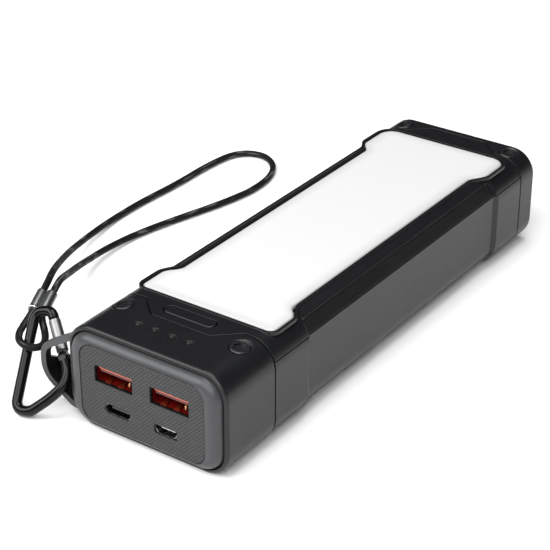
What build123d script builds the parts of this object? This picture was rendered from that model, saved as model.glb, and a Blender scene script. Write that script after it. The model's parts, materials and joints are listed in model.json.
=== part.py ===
from build123d import *
import math
import os

os.makedirs("parts", exist_ok=True)

# ---------------------------------------------------------------- driving dimensions (mm)
# Origin: middle of the housing's footprint on the surface it rests on.
# The sockets face -Y, the lamp faces +Z and the lanyard lug is on the -X side.
WIDTH = 54.4
HEIGHT = 32.0
CORNER_R = 8.2
FRONT_Y = -85.5
REAR_Y = 85.5
FRONT_SEAM_Y = -63.5
REAR_SEAM_Y = 75.4
UPPER_SEAM_Z = 26.2
LOWER_SEAM_Z = 5.0
CAP_SEAM = 0.62
CAP_EDGE_ROUND = 1.05
SEAM = 0.28
TONGUE_GAP = 0.28
WALL = 2.2

# The waist between the two end blocks is a little slimmer than the blocks.
WAIST_INSET = 0.85
WAIST_FRONT_Y = -45.9
WAIST_REAR_Y = 58.5
FRONT_RAMP = 3.5
REAR_RAMP = 4.0
SHOULDER_X = 23.3
SHOULDER_Z = 30.4
LOUVRES = 7
LOUVRE_PITCH = 0.66
LOUVRE_WIDTH = 0.3
LOUVRE_DEPTH = 0.38
RIDGE_R = 0.5
RIDGE_SUNK = 0.25
KEEL_WIDTH = 24.0

# The lamp window is wide at both ends and narrow along the waist.
LAMP_FRONT_Y = -58.8
LAMP_REAR_Y = 73.3
LAMP_WIDE = 22.75
LAMP_NARROW = 19.3
LAMP_THICK = 2.0
LAMP_GAP = 0.45
LIP_WIDTH = 0.85
LIP_PROUD = 0.12
LEDGE = 1.3
LED_ROWS = 12
LED_X = 9.0
LED_BOARD_TOP = 27.3

# The tongue of the top frame reaches into each cap and carries the button in front.
TONGUE_DEEP = 6.5
TONGUE_HALF = 9.9
TONGUE_ROOT_HALF = 17.0
BUTTON_X = -0.45
BUTTON_Y = -65.0
BUTTON_LONG = 17.8
BUTTON_WIDE = 4.4
BUTTON_GAP = 0.3
BUTTON_TRAVEL = 0.4
BUTTON_PROUD = 0.15
BUTTON_FOOT_Z = 28.98
CONTROL_BOARD_TOP = 27.0
SWITCH_TOP = 28.3
PLUNGER_R = 1.0
PLUNGER_LONG = 1.2

SCREW_X = 19.9
SCREW_FRONT_Y = -69.8
SCREW_REAR_Y = 79.7
SCREW_TILT = 9.5
SCREW_HEAD_R = 2.9
SCREW_RECESS_R = 4.0
SCREW_RECESS_DEEP = 0.55
SCREW_SHANK_R = 1.1
BOSS_Z = (24.2, 28.1)
BAR_Z = (24.2, 25.9)
INDICATOR_Y = -76.4
INDICATOR_PITCH = 5.8
INDICATOR_X = -0.85
INDICATOR_R = 1.0

RIM = 1.2
BEZEL_GAP = 0.45
BEZEL_BULGE = 2.3
BEZEL_ROUND = 3.0
INLAY_W = 42.4
INLAY_H = 24.8
INLAY_R = 4.6
INLAY_Z = 15.8

# Sockets, as opening widths and heights.
USB_A_W = 13.1
USB_A_H = 5.1
USB_A_X = 9.55
USB_A_Z = 19.9
USB_C_W = 9.0
USB_C_H = 3.2
USB_C_X = -8.5
USB_C_Z = 9.95
MICRO_W = 7.7
MICRO_H = 2.9
MICRO_X = 8.1
MICRO_Z = 9.8
SOCKET_MOUTH_Y = -84.75
SOCKET_FRONT_Y = FRONT_Y - BEZEL_BULGE + 0.45
TONGUE_START_Y = -83.4
SMALL_TONGUE_START_Y = SOCKET_FRONT_Y + 0.9
SOCKET_GAP = 0.05
CONTACT_X = (-3.5, -1.0, 1.0, 3.5)

CELL_D = 21.2
CELL_L = 70.2
CELL_X = 10.75
CELL_Z = 13.2
CELL_FRONT_Y = -60.2
CELL_SPACE = 0.4
LEAD_R = 0.7
MAIN_BOARD_TOP = 8.3
USB_A_BOARD_Z = (15.6, 16.8)
BOARD_X = (-21.0, 21.0)
BOARD_FRONT_Y = -82.4

# Lanyard lug: a D-shaped bow beside the front cap, seen from the front.
LUG_BAND = 1.9
LUG_THICK = 2.2
LUG_FRONT_Y = -84.9
LUG_ROUTE = [(-25.4, 26.9), (-37.4, 19.4), (-37.4, 11.0), (-27.6, 4.3), (-24.4, 4.0)]
LUG_RADII = [5.0, 7.0, 4.0]
# Behind the bow a deeper wall runs round the lower half only, so the gate passes above it.
LUG_DEEP = 8.5
LUG_WALL_TOP_FRONT = 15.5
LUG_WALL_TOP_REAR = 11.0

# Carabiner: round wire bent in one plane that leans back from upright.
WIRE_R = 1.55
LEAN = 40.0
SPINE_TILT = 13.24
CARABINER_AT = (-42.4, -91.61, 3.12)
# Along the spine, then across it towards the gate.
WIRE_ROUTE = [
    (24.6, 6.7), (26.6, 5.5), (25.9, 0.0), (-2.7, 0.0), (-2.7, 5.2),
    (1.87, 11.29), (7.6, 16.3), (12.6, 13.55),
]
WIRE_RADII = [2.6, 2.8, 3.0, 4.6, 30.0, 6.0]
PIVOT = (13.6, 13.0)
GATE_R = 1.75
GATE_GAP = 0.35
PIN_R = 0.5
PIN_FIT = 0.04
FORK_GAP = 1.3
TAB_THICK = 1.1

# Lanyard: a small eye round the carabiner, a two-barrel ferrule and a long loop.
CORD_R = 1.1
FERRULE_FOOT = (-51.0, -71.6, 20.0)
FERRULE_HEAD = (-53.5, -64.5, 22.0)
BARREL_R = 1.8
BARREL_SPACE = 3.1
EYE_GAP = 0.3
EYE_LEAD = 1.6
LOOP_LEAD = 4.2
EYE_ROUTE = [
    (-51.6, -77.2, 17.9), (-50.3, -81.0, 17.1), (-47.1, -84.1, 17.0), (-42.5, -84.7, 16.9),
    (-40.7, -81.2, 16.4), (-43.3, -77.0, 16.9),
]
LOOP_ROUTE = [
    (-60.6, -54.6, 22.0), (-69.4, -42.2, 16.8), (-79.8, -26.6, 10.2), (-89.4, -9.4, 4.0),
    (-94.8, 9.4, 1.2), (-95.4, 28.6, 1.2), (-94.0, 48.0, 1.2), (-94.4, 67.0, 1.2),
    (-92.4, 82.0, 1.2), (-82.2, 86.4, 1.2), (-72.0, 78.2, 1.2), (-68.6, 62.4, 1.2),
    (-71.8, 44.4, 1.2), (-77.4, 26.0, 1.2), (-81.6, 9.2, 1.2), (-81.8, -5.4, 2.2),
    (-77.6, -18.8, 5.4), (-70.4, -32.6, 11.0), (-62.6, -45.2, 16.8), (-56.2, -55.0, 21.8),
]


# ---------------------------------------------------------------- helpers
def save(node, shape):
    """Write one node."""
    export_step(shape, f"parts/{node}.step")


def across(y):
    """A sketch plane across the housing at y, with its sketch Y along +Z."""
    return Plane(origin=(0, y, 0), x_dir=(1, 0, 0), z_dir=(0, -1, 0))


def prism(sketch, y_low, y_high):
    """Extrude an XZ sketch between two y values."""
    return extrude(across(y_high) * sketch, amount=y_high - y_low)


def slab(sketch, z_low, z_high):
    """Extrude an XY sketch between two z values."""
    return extrude(Plane.XY.offset(z_low) * sketch, amount=z_high - z_low)


def block(x, y, z):
    """A box from three (low, high) pairs."""
    size = [high - low for low, high in (x, y, z)]
    middle = [(high + low) / 2 for low, high in (x, y, z)]
    return Pos(*middle) * Box(*size)


def ring_section(inset=0.0):
    """The end blocks' section, inset all round."""
    rounded = RectangleRounded(WIDTH - 2 * inset, HEIGHT - 2 * inset, CORNER_R - inset)
    return Pos(0, HEIGHT / 2) * rounded


def compound(solids):
    """Several solids as one node."""
    return Compound(children=list(solids))


# ---------------------------------------------------------------- housing
def waist_section(grow=0.0):
    """The waist's section: sloped shoulders above upright sides."""
    side = WIDTH / 2 - WAIST_INSET + grow
    top = HEIGHT + grow
    low = WAIST_INSET - grow
    points = [
        (-side, low), (side, low), (side, UPPER_SEAM_Z + grow), (SHOULDER_X + grow, SHOULDER_Z + grow),
        (LAMP_NARROW + 0.2 + grow, top), (-LAMP_NARROW - 0.2 - grow, top),
        (-SHOULDER_X - grow, SHOULDER_Z + grow), (-side, UPPER_SEAM_Z + grow),
    ]
    face = make_face(Polyline(*points, close=True))
    feet = face.vertices().sort_by(Axis.Y)[:2]
    return fillet(feet, CORNER_R - WAIST_INSET)


def ramp(y_waist, y_block):
    """The slope from the waist out to an end block."""
    sections = [across(y_waist) * waist_section(), across(y_block) * waist_section(1.6)]
    cone = loft(sections)
    low, high = sorted((y_waist, y_block))
    return cone & prism(ring_section(), low, high)


def envelope():
    """The outside of the middle housing, from seam to seam."""
    front_step = WAIST_FRONT_Y - FRONT_RAMP
    rear_step = WAIST_REAR_Y + REAR_RAMP
    body = prism(ring_section(), FRONT_SEAM_Y, front_step)
    body += ramp(WAIST_FRONT_Y, front_step)
    body += prism(waist_section(), WAIST_FRONT_Y, WAIST_REAR_Y)
    body += ramp(WAIST_REAR_Y, rear_step)
    body += prism(ring_section(), rear_step, REAR_SEAM_Y)
    return body


def lamp_outline(grow=0.0):
    """The lamp window's outline, grown all round."""
    right = [
        (LAMP_WIDE, LAMP_FRONT_Y), (LAMP_WIDE, -49.3), (LAMP_NARROW, -43.4),
        (LAMP_NARROW, 53.8), (LAMP_WIDE, 59.8), (LAMP_WIDE, LAMP_REAR_Y),
    ]
    radii = [2.0, 3.2, 4.0, 4.0, 3.2, 5.0]
    left = [(-x, y) for x, y in reversed(right)]
    face = make_face(Polyline(*right, *left, close=True))
    for (x, y), radius in zip(right, radii):
        for side in (1, -1):
            corner = face.vertices().sort_by_distance(Vector(side * x, y, 0))[0]
            face = fillet(corner, radius)
    return offset(face, amount=grow) if grow else face


def tongue_outline(seam_y, grow=0.0):
    """The tongue that the top frame pushes into a cap."""
    out = -1 if seam_y < 0 else 1
    tip = seam_y + out * (TONGUE_DEEP + grow)
    root = seam_y - out * 3.0
    points = [
        (-TONGUE_ROOT_HALF - grow, root), (-TONGUE_ROOT_HALF - grow, seam_y),
        (-TONGUE_HALF - grow, tip), (TONGUE_HALF + grow, tip),
        (TONGUE_ROOT_HALF + grow, seam_y), (TONGUE_ROOT_HALF + grow, root),
    ]
    face = make_face(Polyline(*points, close=True))
    tips = [v for v in face.vertices() if abs(v.Y - tip) < 0.01]
    return fillet(tips, 1.8)


def button_outline(grow=0.0):
    """The power button's stadium outline."""
    return Pos(BUTTON_X, BUTTON_Y) * SlotOverall(BUTTON_LONG + 2 * grow, BUTTON_WIDE + 2 * grow)


def louvres():
    """Grooves along both sloped shoulders of the waist."""
    foot = Vector(WIDTH / 2 - WAIST_INSET, UPPER_SEAM_Z)
    head = Vector(SHOULDER_X, SHOULDER_Z)
    along = (head - foot).normalized()
    angle = math.degrees(math.atan2(along.Y, along.X))
    middle = (foot + head) * 0.5
    low = WAIST_FRONT_Y + 1.0
    high = WAIST_REAR_Y - 1.0
    cutters = []
    for side in (1, -1):
        for i in range(LOUVRES):
            at = middle + along * ((i - (LOUVRES - 1) / 2) * LOUVRE_PITCH)
            groove = Rot(0, 0, side * angle) * Rectangle(LOUVRE_WIDTH, 2 * LOUVRE_DEPTH)
            cutters.append(prism(Pos(side * at.X, at.Y) * groove, low, high))
    return cutters


def screw_frame(side, y):
    """The place and lean of one cap screw, its Z along the screw's axis, outwards."""
    dx = SCREW_X - (WIDTH / 2 - CORNER_R)
    z = HEIGHT - CORNER_R + math.sqrt(CORNER_R ** 2 - dx ** 2)
    return Pos(side * SCREW_X, y, z) * Rot(0, side * SCREW_TILT, 0)


def screw_holes(y):
    """Clearance for the heads and shanks of one cap's two screws, with a sloping recess round each."""
    foot_r = SCREW_HEAD_R + 0.1
    over_r = 2 * SCREW_RECESS_R - foot_r
    cuts = []
    for side in (1, -1):
        place = screw_frame(side, y)
        cuts.append(place * Cone(foot_r, over_r, 2 * SCREW_RECESS_DEEP))
        cuts.append(place * Pos(0, 0, 0.87) * Cylinder(SCREW_HEAD_R + 0.1, 4.24))
        cuts.append(place * Pos(0, 0, -4) * Cylinder(SCREW_SHANK_R + 0.15, 8))
    return cuts


def cap_screws(y):
    """Two hexagon-socket screws with low round heads."""
    screws = []
    for side in (1, -1):
        place = screw_frame(side, y)
        head = Pos(0, 0, -0.66) * Cylinder(SCREW_HEAD_R, 1.1)
        head = fillet(head.edges().group_by(Axis.Z)[-1], 0.4)
        screw = head + Pos(0, 0, -4.2) * Cylinder(SCREW_SHANK_R, 6.4)
        screw -= Pos(0, 0, -0.7) * extrude(RegularPolygon(1.9, 6), amount=1.0)
        screws.append(place * screw)
    return compound(screws)


def front_cap():
    cap = prism(ring_section(), FRONT_Y, FRONT_SEAM_Y - CAP_SEAM)
    cap = fillet(cap.faces().sort_by(Axis.Y)[0].edges(), CAP_EDGE_ROUND)
    cap -= prism(ring_section(RIM), FRONT_Y - 1, FRONT_Y + 2.6)
    cap -= prism(ring_section(WALL), FRONT_Y, FRONT_SEAM_Y)
    cap -= slab(tongue_outline(FRONT_SEAM_Y, TONGUE_GAP), HEIGHT - WALL - 1.5, HEIGHT + 1)
    for cut in screw_holes(SCREW_FRONT_Y):
        cap -= cut
    for pipe in indicator_centres():
        cap -= Pos(*pipe, HEIGHT - 1) * Cylinder(INDICATOR_R + 0.06, 4)
    cap -= lanyard_lug()
    return cap


def rear_cap():
    cap = prism(ring_section(), REAR_SEAM_Y + CAP_SEAM, REAR_Y)
    cap = fillet(cap.faces().sort_by(Axis.Y)[-1].edges(), 1.6)
    cap -= prism(ring_section(RIM + 3.4), REAR_Y - 1.6, REAR_Y + 1)
    cap -= prism(ring_section(WALL), REAR_SEAM_Y, REAR_Y - 2.4)
    cap -= prism(ring_section(RIM + 5.4), REAR_SEAM_Y, REAR_Y)
    cap -= slab(tongue_outline(REAR_SEAM_Y, TONGUE_GAP), HEIGHT - WALL - 1.5, HEIGHT + 1)
    for cut in screw_holes(SCREW_REAR_Y):
        cap -= cut
    return cap


def rear_plate():
    """The plain plate let into the rear cap."""
    plate = prism(ring_section(RIM + 3.5), REAR_Y - 1.5, REAR_Y - 0.1)
    return fillet(plate.faces().sort_by(Axis.Y)[-1].edges(), 0.5)


def top_frame(body):
    frame = body & block((-40, 40), (-100, 100), (UPPER_SEAM_Z + SEAM / 2, 40))
    tongues = slab(tongue_outline(FRONT_SEAM_Y), HEIGHT - WALL, HEIGHT)
    tongues += slab(tongue_outline(REAR_SEAM_Y), HEIGHT - WALL, HEIGHT)
    frame += tongues
    frame -= prism(ring_section(WALL), FRONT_SEAM_Y - 0.5, REAR_SEAM_Y + 0.5)
    for side in (1, -1):
        ridge = Pos(side * SHOULDER_X, SHOULDER_Z - RIDGE_SUNK) * Circle(RIDGE_R)
        frame += prism(ridge, WAIST_FRONT_Y, WAIST_REAR_Y)
    frame += slab(lamp_outline(LAMP_GAP + LIP_WIDTH), HEIGHT - 1.0, HEIGHT + LIP_PROUD)
    frame -= slab(lamp_outline(LAMP_GAP), HEIGHT - LAMP_THICK, HEIGHT + 1)
    frame += ledge()
    frame -= slab(lamp_outline(-LEDGE), UPPER_SEAM_Z, HEIGHT)
    frame -= slab(button_outline(), HEIGHT - 5, HEIGHT + 1)
    for cut in louvres():
        frame -= cut
    return frame


def ledge():
    """The step under the edge of the diffuser."""
    ring = lamp_outline(LAMP_GAP + 0.45) - lamp_outline(-LEDGE)
    return slab(ring, HEIGHT - LAMP_THICK - 1.4, HEIGHT - LAMP_THICK - 0.05)


def side_frame(body):
    """Both side walls, joined by bars over the cells, with four screw bosses."""
    walls = body & block((-40, 40), (-100, 100), (LOWER_SEAM_Z + SEAM / 2, UPPER_SEAM_Z - SEAM / 2))
    walls -= prism(ring_section(WALL), FRONT_SEAM_Y - 1, REAR_SEAM_Y + 1)
    inner = WIDTH / 2 - WALL
    for y in (FRONT_SEAM_Y + 1.5, -18.0, 28.0, REAR_SEAM_Y - 1.5):
        walls += block((-inner - 0.5, inner + 0.5), (y - 1.5, y + 1.5), BAR_Z)
    for side in (1, -1):
        x = sorted((side * 16.6, side * 22.4))
        walls += block(x, (SCREW_FRONT_Y - 3.5, FRONT_SEAM_Y + 3), BOSS_Z)
        walls += block(x, (REAR_SEAM_Y - 3, SCREW_REAR_Y + 2.9), BOSS_Z)
        for y in (SCREW_FRONT_Y, SCREW_REAR_Y):
            walls -= screw_frame(side, y) * Pos(0, 0, -4) * Cylinder(SCREW_SHANK_R + 0.02, 8)
    return walls


def bottom_cover(body):
    cover = body & block((-40, 40), (-100, 100), (0, LOWER_SEAM_Z - SEAM / 2))
    keel = Pos(0, 0.6) * Rectangle(KEEL_WIDTH, 1.2)
    cover += prism(keel, WAIST_FRONT_Y - 1, WAIST_REAR_Y + 1)
    cover -= prism(ring_section(WALL), FRONT_SEAM_Y - 1, REAR_SEAM_Y + 1)
    return cover


# ---------------------------------------------------------------- front end
def usb_a_opening(w=USB_A_W, h=USB_A_H):
    sketch = Sketch()
    for side in (1, -1):
        sketch += Pos(side * USB_A_X, USB_A_Z) * RectangleRounded(w, h, 0.3)
    return sketch


def usb_c_opening(inset=0.0):
    return Pos(USB_C_X, USB_C_Z) * SlotOverall(USB_C_W - 2 * inset, USB_C_H - 2 * inset)


def micro_opening(inset=0.0):
    """A flat top and bevelled lower corners."""
    half = MICRO_W / 2 - inset
    top = MICRO_H / 2 - inset
    points = [
        (-half, top), (-half, -top + 1.3), (-half + 1.1, -top),
        (half - 1.1, -top), (half, -top + 1.3), (half, top),
    ]
    return Pos(MICRO_X, MICRO_Z) * make_face(Polyline(*points, close=True))


def socket_openings():
    return usb_a_opening() + usb_c_opening() + micro_opening()


def front_bezel():
    front = FRONT_Y - BEZEL_BULGE
    bezel = prism(ring_section(RIM + BEZEL_GAP), front, FRONT_Y + 2.5)
    bezel = fillet(bezel.faces().sort_by(Axis.Y)[0].edges(), BEZEL_ROUND)
    bezel -= prism(ring_section(RIM + 2.6), front + 2.8, FRONT_Y + 3)
    recess = Pos(0, INLAY_Z) * RectangleRounded(INLAY_W + 0.3, INLAY_H + 0.3, INLAY_R)
    bezel -= prism(recess, front - 1, front + 0.65)
    bezel -= prism(socket_openings(), front - 1, front + 4)
    return bezel


def port_inlay():
    """The textured plate that frames the sockets."""
    front = FRONT_Y - BEZEL_BULGE
    plate = prism(Pos(0, INLAY_Z) * RectangleRounded(INLAY_W, INLAY_H, INLAY_R), front + 0.08, front + 0.63)
    return plate - prism(socket_openings(), front - 1, front + 4)


def usb_a_socket(side, name):
    """Steel shell, coloured insulator with its collar and tongue, and four contacts."""
    at = Pos(side * USB_A_X, USB_A_Z)
    rear = SOCKET_MOUTH_Y + 13.6
    shell = prism(at * RectangleRounded(USB_A_W + 0.9, USB_A_H + 0.9, 0.5), SOCKET_MOUTH_Y, rear)
    shell -= prism(at * RectangleRounded(USB_A_W + 0.3, USB_A_H + 0.3, 0.3), SOCKET_MOUTH_Y - 1, rear - 0.3)
    liner = prism(at * RectangleRounded(USB_A_W + 0.2, USB_A_H + 0.2, 0.3), SOCKET_MOUTH_Y + 0.1, rear - 0.4)
    collar = RectangleRounded(USB_A_W - 2 * SOCKET_GAP, USB_A_H - 2 * SOCKET_GAP, 0.3)
    liner += prism(at * collar, SOCKET_FRONT_Y, SOCKET_MOUTH_Y + 0.2)
    liner -= prism(at * RectangleRounded(USB_A_W - 0.5, USB_A_H - 0.4, 0.2), SOCKET_FRONT_Y - 1, rear - 4.5)
    x = side * USB_A_X
    tongue_z = (USB_A_Z + 0.1, USB_A_Z + 1.9)
    liner += block((x - 5.5, x + 5.5), (TONGUE_START_Y, rear - 4), tongue_z)
    contact_z = (tongue_z[0] - 0.25, tongue_z[0])
    contacts = []
    for offset_x in CONTACT_X:
        cx = x + offset_x
        contacts.append(block((cx - 0.5, cx + 0.5), (TONGUE_START_Y + 0.8, rear - 4.6), contact_z))
    save(f"usb_a_shell_{name}", shell)
    save(f"usb_a_insulator_{name}", liner)
    save(f"usb_a_contacts_{name}", compound(contacts))


def usb_c_socket():
    rear = SOCKET_MOUTH_Y + 7.4
    shell = prism(usb_c_opening(SOCKET_GAP), SOCKET_FRONT_Y, rear)
    shell -= prism(usb_c_opening(0.3), SOCKET_FRONT_Y - 1, rear - 1.2)
    tongue = block(
        (USB_C_X - 3.3, USB_C_X + 3.3), (SMALL_TONGUE_START_Y, rear - 1.2), (USB_C_Z - 0.35, USB_C_Z + 0.35)
    )
    save("usb_c_shell", shell)
    save("usb_c_tongue", fillet(tongue.edges().filter_by(Axis.Z).group_by(Axis.Y)[0], 0.5))


def micro_usb_socket():
    rear = SOCKET_MOUTH_Y + 5.6
    shell = prism(micro_opening(SOCKET_GAP), SOCKET_FRONT_Y, rear)
    shell -= prism(micro_opening(0.3), SOCKET_FRONT_Y - 1, rear - 1.0)
    tongue = block(
        (MICRO_X - 2.3, MICRO_X + 2.3), (SMALL_TONGUE_START_Y, rear - 1.0), (MICRO_Z + 0.1, MICRO_Z + 0.75)
    )
    save("micro_usb_shell", shell)
    save("micro_usb_tongue", tongue)


def lanyard_lug():
    """The D-shaped bow and the deeper wall behind its lower half, set into the front cap's wall."""
    route = FilletPolyline(*LUG_ROUTE, radius=LUG_RADII)
    band = trace(route, LUG_BAND)
    rear = LUG_FRONT_Y + LUG_DEEP
    bow_rear = LUG_FRONT_Y + LUG_THICK
    lug = prism(band, LUG_FRONT_Y, rear)
    above = [(bow_rear, LUG_WALL_TOP_FRONT), (rear + 1, LUG_WALL_TOP_REAR), (rear + 1, 40), (bow_rear, 40)]
    lug -= extrude(Plane.YZ.offset(-50) * make_face(Polyline(*above, close=True)), amount=40)
    return lug - prism(ring_section(RIM), LUG_FRONT_Y - 1, rear + 1)


# ---------------------------------------------------------------- controls
def indicator_centres():
    return [(INDICATOR_X + (i - 1.5) * INDICATOR_PITCH, INDICATOR_Y) for i in range(4)]


def power_button():
    """A stadium key with a retaining flange and a short stem."""
    cap = slab(button_outline(-BUTTON_GAP), HEIGHT - 2.6, HEIGHT + BUTTON_PROUD)
    cap = fillet(cap.edges().group_by(Axis.Z)[-1], 0.35)
    flange = slab(button_outline(0.75), HEIGHT - 3.0, HEIGHT - WALL - 0.25)
    stem = Pos(0, BUTTON_Y, BUTTON_FOOT_Z + 0.1) * Cylinder(1.2, 0.2)
    return cap + flange + stem


def controls():
    """The switch, its plunger, the four lights and their pipes on a small board."""
    board = block((-14, 14), (-79.0, -61.5), (CONTROL_BOARD_TOP - 1.0, CONTROL_BOARD_TOP))
    switch = block((-3, 3), (BUTTON_Y - 1.75, BUTTON_Y + 1.75), (CONTROL_BOARD_TOP, SWITCH_TOP))
    plunger_top = BUTTON_FOOT_Z - 0.05
    plunger_foot = plunger_top - PLUNGER_LONG
    switch -= slab(Pos(0, BUTTON_Y) * Circle(PLUNGER_R + 0.1), plunger_foot - BUTTON_TRAVEL - 0.03, HEIGHT)
    plunger = slab(Pos(0, BUTTON_Y) * Circle(PLUNGER_R), plunger_foot, plunger_top)
    light_z = (CONTROL_BOARD_TOP, CONTROL_BOARD_TOP + 0.7)
    pipes = []
    lights = []
    for x, y in indicator_centres():
        pipes.append(slab(Pos(x, y) * Circle(INDICATOR_R), CONTROL_BOARD_TOP + 0.88, HEIGHT - 0.02))
        lights.append(block((x - 0.8, x + 0.8), (y - 0.5, y + 0.5), light_z))
    save("control_board", board)
    save("tact_switch", switch)
    save("switch_plunger", plunger)
    save("indicator_light_pipes", compound(pipes))
    save("indicator_leds", compound(lights))


# ---------------------------------------------------------------- lamp
def lamp(body):
    diffuser = slab(lamp_outline(), HEIGHT - LAMP_THICK, HEIGHT)
    diffuser = diffuser & prism(ring_section(), FRONT_SEAM_Y, REAR_SEAM_Y)
    ring = lamp_outline(-LEDGE - 0.1) - lamp_outline(-LEDGE - 1.1)
    board_y = (LAMP_FRONT_Y + 4.5, LAMP_REAR_Y - 4.5)
    board = block((-17, 17), board_y, (UPPER_SEAM_Z, LED_BOARD_TOP))
    pitch = (board_y[1] - board_y[0] - 10.0) / (LED_ROWS - 1)
    chip_z = (LED_BOARD_TOP, LED_BOARD_TOP + 0.7)
    chips = []
    for i in range(LED_ROWS):
        y = board_y[0] + 5.0 + i * pitch
        for x in (-LED_X, LED_X):
            chips.append(block((x - 1.4, x + 1.4), (y - 1.75, y + 1.75), chip_z))
    save("light_diffuser", diffuser)
    save("reflector_ring", slab(ring, LED_BOARD_TOP + 0.1, HEIGHT - LAMP_THICK - 0.1))
    save("led_board", board)
    save("led_chips", compound(chips))


# ---------------------------------------------------------------- battery and electronics
def battery():
    """Four round cells, two by two, with end insulators, strips and leads."""
    middles = []
    for row in range(2):
        y = CELL_FRONT_Y + CELL_L / 2 + row * (CELL_L + CELL_SPACE)
        for side in (-1, 1):
            middles.append((side * CELL_X, y))
    for number, (x, y) in enumerate(middles, start=1):
        can = Rot(90, 0, 0) * Cylinder(CELL_D / 2, CELL_L - 0.6)
        can = fillet(can.edges(), 0.8)
        can += Pos(0, -CELL_L / 2 + 0.15, 0) * Rot(90, 0, 0) * Cylinder(4.0, 0.3)
        save(f"battery_cell_{number}", Pos(x, y, CELL_Z) * can)
    rear = CELL_FRONT_Y + 2 * CELL_L + CELL_SPACE
    for node, y in (("cell_insulator_front", CELL_FRONT_Y - 1.3), ("cell_insulator_rear", rear + 0.1)):
        sheet = Pos(0, CELL_Z) * RectangleRounded(43.6, 21.4, 3)
        for side in (-1, 1):
            sheet -= Pos(side * CELL_X, CELL_Z) * Circle(4.6)
        save(node, prism(sheet, y, y + 1.2))
    strips = []
    for y in (CELL_FRONT_Y - 1.6, rear + 1.4):
        strips.append(prism(Pos(0, CELL_Z) * RectangleRounded(36, 7, 1), y, y + 0.2))
    save("nickel_strips", compound(strips))
    for node, side in (("battery_lead_red", 1), ("battery_lead_black", -1)):
        route = [
            (side * 15.0, CELL_FRONT_Y - 1.7, CELL_Z), (side * 15.0, CELL_FRONT_Y - 3.5, CELL_Z),
            (side * 17.0, CELL_FRONT_Y - 5.5, CELL_Z - 0.6),
            (side * 17.0, CELL_FRONT_Y - 5.5, MAIN_BOARD_TOP + 0.05),
        ]
        path = FilletPolyline(*route, radius=1.0)
        save(node, sweep(Plane(path ^ 0) * Circle(LEAD_R), path))


def electronics():
    main = block(BOARD_X, (BOARD_FRONT_Y, -63.0), (MAIN_BOARD_TOP - 1.2, MAIN_BOARD_TOP))
    upper = block(BOARD_X, (BOARD_FRONT_Y, -64.0), USB_A_BOARD_Z)
    header = block((-8, 8), (-67.2, -64.8), (MAIN_BOARD_TOP, USB_A_BOARD_Z[0]))
    coils = []
    for x in (-12, 12):
        coil = Pos(x, -72.5, MAIN_BOARD_TOP + 2.0) * Box(7, 7, 4)
        coils.append(fillet(coil.edges().filter_by(Axis.Z), 1.5))
    charger = block((-4, 4), (-77.0, -71.0), (MAIN_BOARD_TOP, MAIN_BOARD_TOP + 0.9))
    protector = block((-3, 3), (-80.5, -77.8), (MAIN_BOARD_TOP, MAIN_BOARD_TOP + 0.7))
    save("main_board", main)
    save("usb_a_board", upper)
    save("board_header", header)
    save("power_inductors", compound(coils))
    save("controller_chips", compound([charger, protector]))


# ---------------------------------------------------------------- carabiner
def carabiner_plane():
    """The wire's plane: sketch X along the spine, sketch Y towards the gate."""
    lean = math.radians(LEAN)
    tilt = math.radians(SPINE_TILT)
    up = Vector(0, math.sin(lean), math.cos(lean))
    across_x = Vector(1, 0, 0)
    spine = up * math.cos(tilt) - across_x * math.sin(tilt)
    gatewards = across_x * math.cos(tilt) + up * math.sin(tilt)
    return Plane(origin=CARABINER_AT, x_dir=spine, z_dir=spine.cross(gatewards))


def flat_tab(length, thick, radius):
    """A flat tab that runs along sketch X from a round end at the origin."""
    outline = Circle(radius) + Pos(length / 2, 0) * Rectangle(length, 2 * radius)
    return Pos(0, 0, -thick / 2) * extrude(outline, amount=thick)


def carabiner():
    """Wire body with a fork, sprung gate and pin, in the wire's own plane."""
    plane = carabiner_plane()
    path = FilletPolyline(*WIRE_ROUTE, radius=WIRE_RADII)
    wire = sweep(Plane(path ^ 0) * Circle(WIRE_R), path)
    nose = Vector(*WIRE_ROUTE[0])
    pivot = Vector(*PIVOT)
    along = (nose - pivot).normalized()
    angle = math.degrees(math.atan2(along.Y, along.X))
    reach = (nose - pivot).length
    hub = Pos(*PIVOT) * Rot(0, 0, angle)
    ears = Pos(*PIVOT) * Cylinder(WIRE_R, 2 * WIRE_R)
    ears = fillet(ears.edges(), 0.4)
    wire += ears
    slot = hub * Pos(2.4, 0) * Box(9.0, 4.4, FORK_GAP)
    wire -= slot
    wire -= Pos(*PIVOT) * Cylinder(PIN_R, 8)
    wire += hub * Pos(reach - 0.15, 0) * Rot(0, 90, 0) * Cylinder(WIRE_R, 0.3)

    gate_length = reach - GATE_GAP - 0.3
    tube_start = 2.1
    tube = Pos((tube_start + gate_length) / 2, 0) * Rot(0, 90, 0) * Cylinder(GATE_R, gate_length - tube_start)
    tube = fillet(tube.edges().sort_by(Axis.X)[-1:], 0.5)
    gate = tube + flat_tab(tube_start + 0.5, TAB_THICK, WIRE_R - 0.25)
    gate -= Cylinder(PIN_R + PIN_FIT, 8)
    gate -= Pos(tube_start + 3.2, 0) * Rot(0, 90, 0) * Cylinder(0.85, 5.0)
    pin = Pos(*PIVOT) * Cylinder(PIN_R, 2 * WIRE_R - 0.2)
    spring = gate_spring(tube_start)
    save("carabiner_body", plane * wire)
    save("carabiner_gate", plane * (hub * gate))
    save("gate_pin", plane * pin)
    save("gate_spring", plane * (hub * spring))


def gate_spring(start):
    """The small coil inside the gate that pushes it shut."""
    helix = Helix(pitch=0.75, height=4.5, radius=0.6)
    coil = sweep(Plane(helix ^ 0) * Circle(0.14), helix)
    return Pos(start + 0.9, 0) * Rot(0, 90, 0) * coil


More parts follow.
